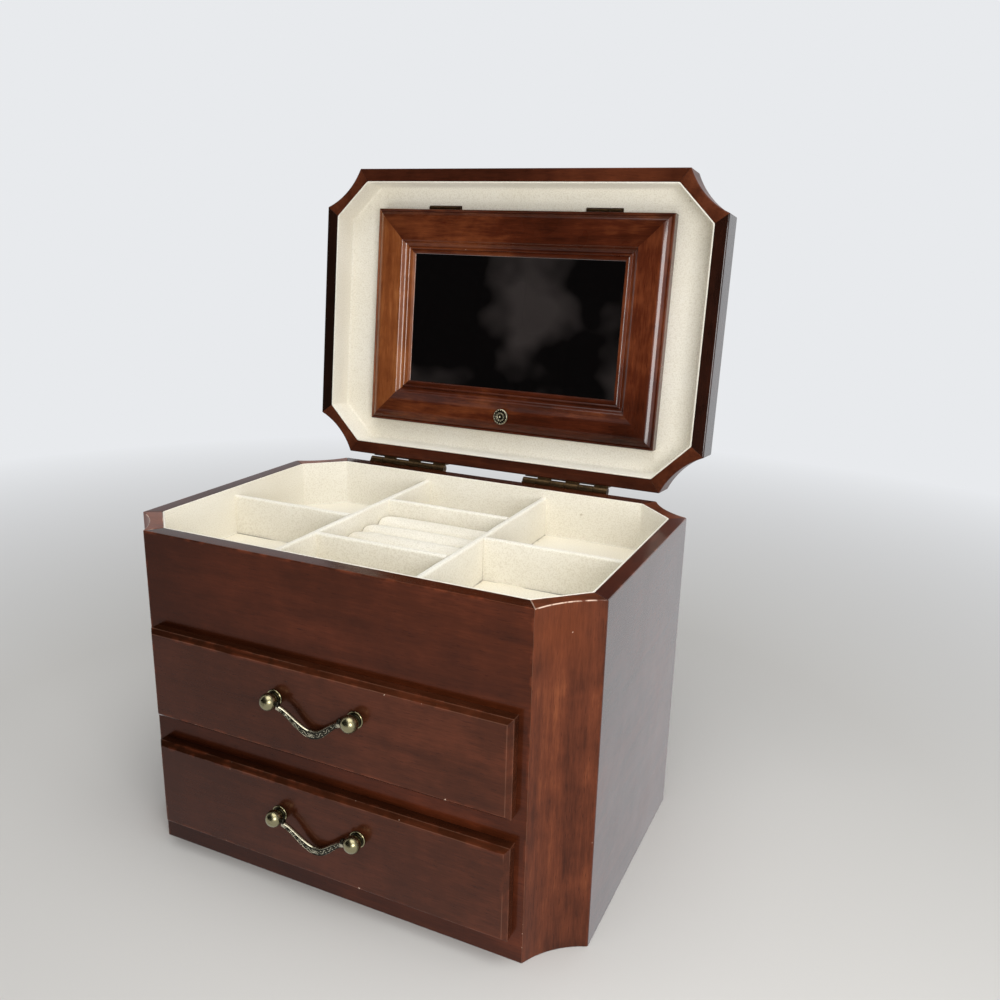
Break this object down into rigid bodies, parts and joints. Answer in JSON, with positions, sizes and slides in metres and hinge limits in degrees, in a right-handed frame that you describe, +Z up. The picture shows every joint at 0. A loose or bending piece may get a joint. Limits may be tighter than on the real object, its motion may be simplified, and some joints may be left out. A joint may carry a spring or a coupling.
{
  "type": "vanity box",
  "caption": "Wooden vanity box with drawers on swinging pulls, a divided felt tray with ring rolls, and a hinged lid that holds a framed mirror door.",
  "frame": {"origin": "middle of the underside of the case, which stands flat", "axes": "+X to the right as seen from the front, +Y to the back, +Z up"},
  "size_m": [0.28, 0.2614, 0.388],
  "materials": {
    "case_wood": "gloss",
    "post_wood": "gloss",
    "frame_wood": "gloss",
    "inner_wood": "matte",
    "felt": "flocked",
    "brass": "antique",
    "steel": "plated",
    "mirror": "polished"
  },
  "bodies": {
    "case": {"case_front": "case_wood", "case_back": "case_wood", "case_left_side": "case_wood", "case_right_side": "case_wood", "case_corner_posts": "post_wood", "case_bottom": "inner_wood", "drawer_shelf": "inner_wood", "drawer_runners": "inner_wood", "tray_board": "inner_wood", "tray_liner": "felt", "tray_floor_felt": "felt", "left_divider": "felt", "right_divider": "felt", "left_cross_divider": "felt", "right_cross_divider": "felt", "front_cross_divider": "felt", "rear_cross_divider": "felt", "ring_rolls": "felt", "lid_hinge_case_leaves": "brass", "lid_hinge_pins": "brass", "lid_hinge_case_screws": "brass"},
    "lid": {"lid_panel": "case_wood", "lid_front_rail": "case_wood", "lid_rear_rail": "case_wood", "lid_left_rail": "case_wood", "lid_right_rail": "case_wood", "lid_corner_posts": "post_wood", "lid_liner": "felt", "lid_floor_felt": "felt", "catch_magnets": "steel", "lid_hinge_lid_leaves": "brass", "lid_hinge_lid_screws": "brass", "door_hinge_lid_leaves": "brass", "door_hinge_pins": "brass"},
    "mirror_door": {"door_top_rail": "frame_wood", "door_bottom_rail": "frame_wood", "door_left_rail": "frame_wood", "door_right_rail": "frame_wood", "mirror_glass": "mirror", "mirror_backing": "inner_wood", "door_knob": "brass", "knob_screw": "steel", "catch_plates": "steel", "door_hinge_door_leaves": "brass"},
    "upper_drawer": {"upper_drawer_front": "case_wood", "upper_drawer_sides": "inner_wood", "upper_drawer_ends": "inner_wood", "upper_drawer_bottom": "inner_wood", "upper_drawer_lining": "felt", "upper_pull_posts": "brass", "upper_pull_screws": "steel"},
    "lower_drawer": {"lower_drawer_front": "case_wood", "lower_drawer_sides": "inner_wood", "lower_drawer_ends": "inner_wood", "lower_drawer_bottom": "inner_wood", "lower_drawer_lining": "felt", "lower_pull_posts": "brass", "lower_pull_screws": "steel"},
    "upper_bail": {"upper_pull_bail": "brass"},
    "lower_bail": {"lower_pull_bail": "brass"}
  },
  "joints": [
    {"name": "lid_hinge", "type": "hinge", "parent": "case", "child": "lid", "pos_m": [0, 0.101, 0.1906], "axis": [-1, 0, 0], "range_deg": [-95.75, 0]},
    {"name": "mirror_door_hinge", "type": "hinge", "parent": "lid", "child": "mirror_door", "pos_m": [0, 0.13705, 0.36341], "axis": [-1, 0, 0], "range_deg": [0, 90]},
    {"name": "upper_drawer_slide", "type": "slide", "parent": "case", "child": "upper_drawer", "axis": [0, -1, 0], "range_m": [0, 0.14]},
    {"name": "lower_drawer_slide", "type": "slide", "parent": "case", "child": "lower_drawer", "axis": [0, -1, 0], "range_m": [0, 0.14]},
    {"name": "upper_bail_swing", "type": "hinge", "parent": "upper_drawer", "child": "upper_bail", "pos_m": [0, -0.1107, 0.1163], "axis": [-1, 0, 0], "range_deg": [-2, 177]},
    {"name": "lower_bail_swing", "type": "hinge", "parent": "lower_drawer", "child": "lower_bail", "pos_m": [0, -0.1107, 0.0478], "axis": [-1, 0, 0], "range_deg": [-2, 177]}
  ]
}
